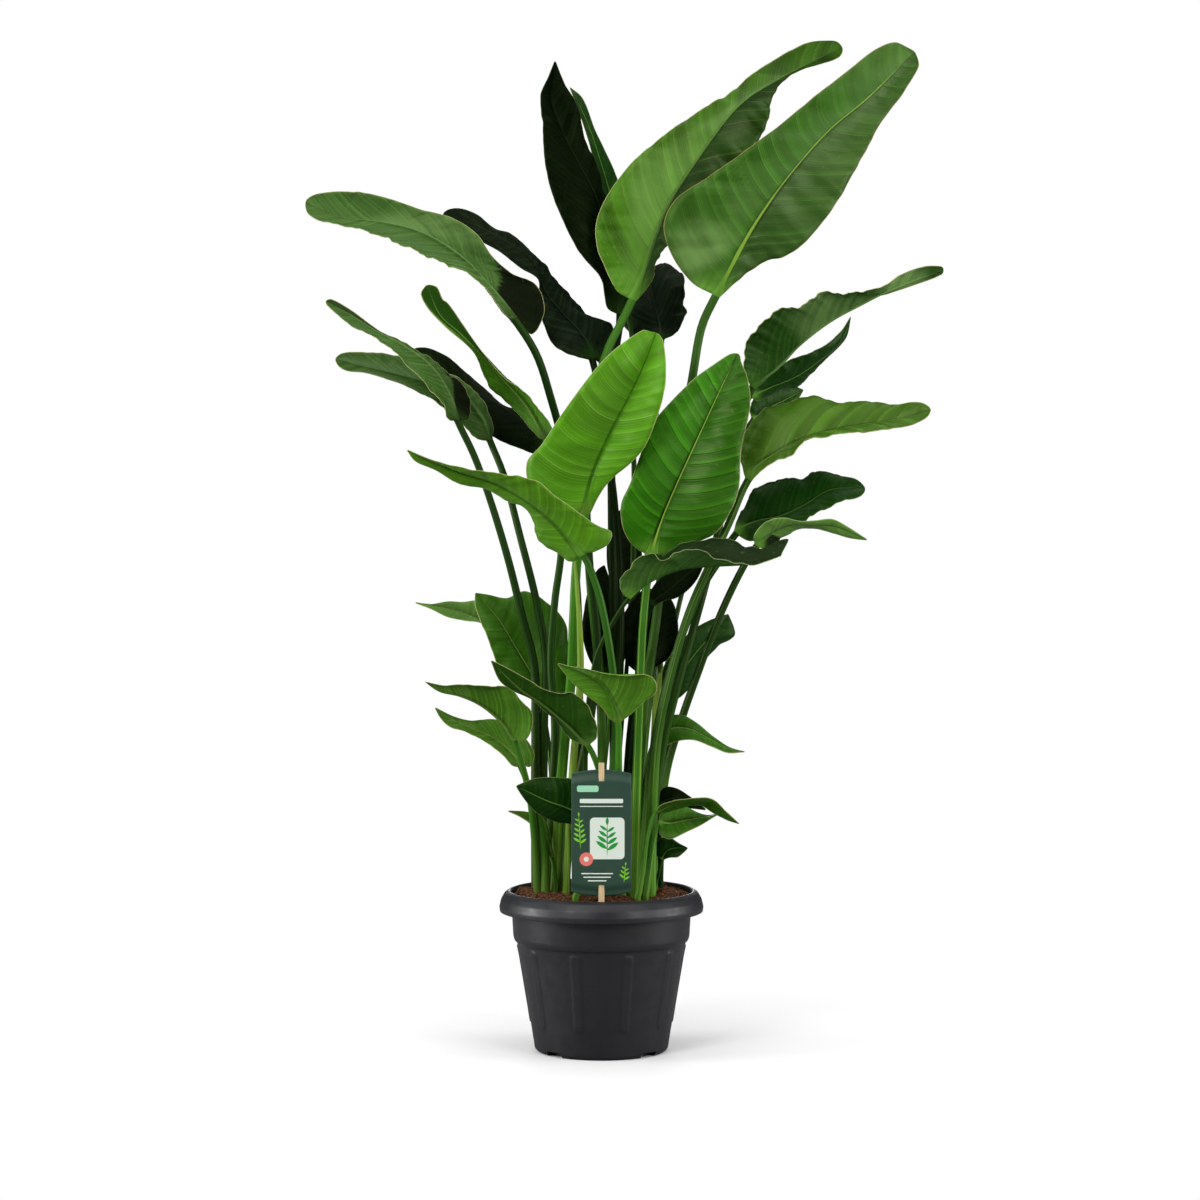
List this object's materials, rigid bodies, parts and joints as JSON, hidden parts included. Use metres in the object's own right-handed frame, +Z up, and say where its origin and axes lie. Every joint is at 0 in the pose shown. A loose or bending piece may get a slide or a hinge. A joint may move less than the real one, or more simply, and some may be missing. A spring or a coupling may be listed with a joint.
{
  "type": "potted white bird of paradise plant",
  "caption": "Tall leafy white bird of paradise house plant in a round ribbed nursery pot, with a dark green plant label on a wooden stick.",
  "frame": {"origin": "centre of the pot's flat bottom, on the surface it stands on", "axes": "+Z up through the pot's axis, -Y towards the front with the label, +X to the right as seen from the front"},
  "size_m": [0.906, 0.451, 1.4475],
  "materials": {
    "pot_plastic": "satin charcoal moulded plastic",
    "soil": "loose red-brown coir and bark potting mix",
    "leaf_green": "leathery glossy green leaf with a pale midrib",
    "leaf_dark_green": "leathery dark green leaf, satin",
    "young_leaf": "rolled young leaf, smooth yellow-green",
    "label_card": "dark green printed plant card",
    "stick_wood": "plain pale wooden stick"
  },
  "bodies": {
    "root": {"pot": "pot_plastic", "soil": "soil", "leaf_crown_right": "leaf_green", "leaf_crown_left": "leaf_green", "leaf_crown_dark": "leaf_dark_green", "leaf_crown_back": "leaf_green", "leaf_left_top": "leaf_green", "leaf_left_dark": "leaf_dark_green", "leaf_crown_low": "leaf_dark_green", "leaf_front_left": "leaf_green", "leaf_front_right": "leaf_green", "leaf_front_low_left": "leaf_green", "leaf_left_mid": "leaf_green", "leaf_left_mid_back": "leaf_green", "leaf_left_twisted": "leaf_green", "leaf_left_shadow": "leaf_dark_green", "leaf_right_top": "leaf_green", "leaf_right_top_back": "leaf_dark_green", "leaf_right_small_back": "leaf_dark_green", "leaf_right_pale": "leaf_green", "leaf_right_dark": "leaf_dark_green", "leaf_right_rolled": "leaf_green", "leaf_front_long": "leaf_green", "leaf_under_long": "leaf_dark_green", "leaf_mid_round": "leaf_dark_green", "leaf_mid_dark": "leaf_dark_green", "leaf_mid_mottled": "leaf_dark_green", "leaf_left_broad": "leaf_green", "leaf_left_tip_back": "leaf_green", "leaf_low_left_upper": "leaf_green", "leaf_low_left_lower": "leaf_green", "leaf_low_centre": "leaf_green", "leaf_boat": "leaf_green", "leaf_low_dark": "leaf_dark_green", "leaf_low_tip": "leaf_green", "leaf_right_low": "leaf_green", "leaf_low_right_dark": "leaf_dark_green", "leaf_low_right_band": "leaf_green", "leaf_low_right_face": "leaf_green", "leaf_low_right_small": "leaf_dark_green", "leaf_right_mid": "leaf_green", "spear_left": "young_leaf", "spear_right": "young_leaf", "label_card": "label_card", "label_stick": "stick_wood"}
  },
  "joints": []
}
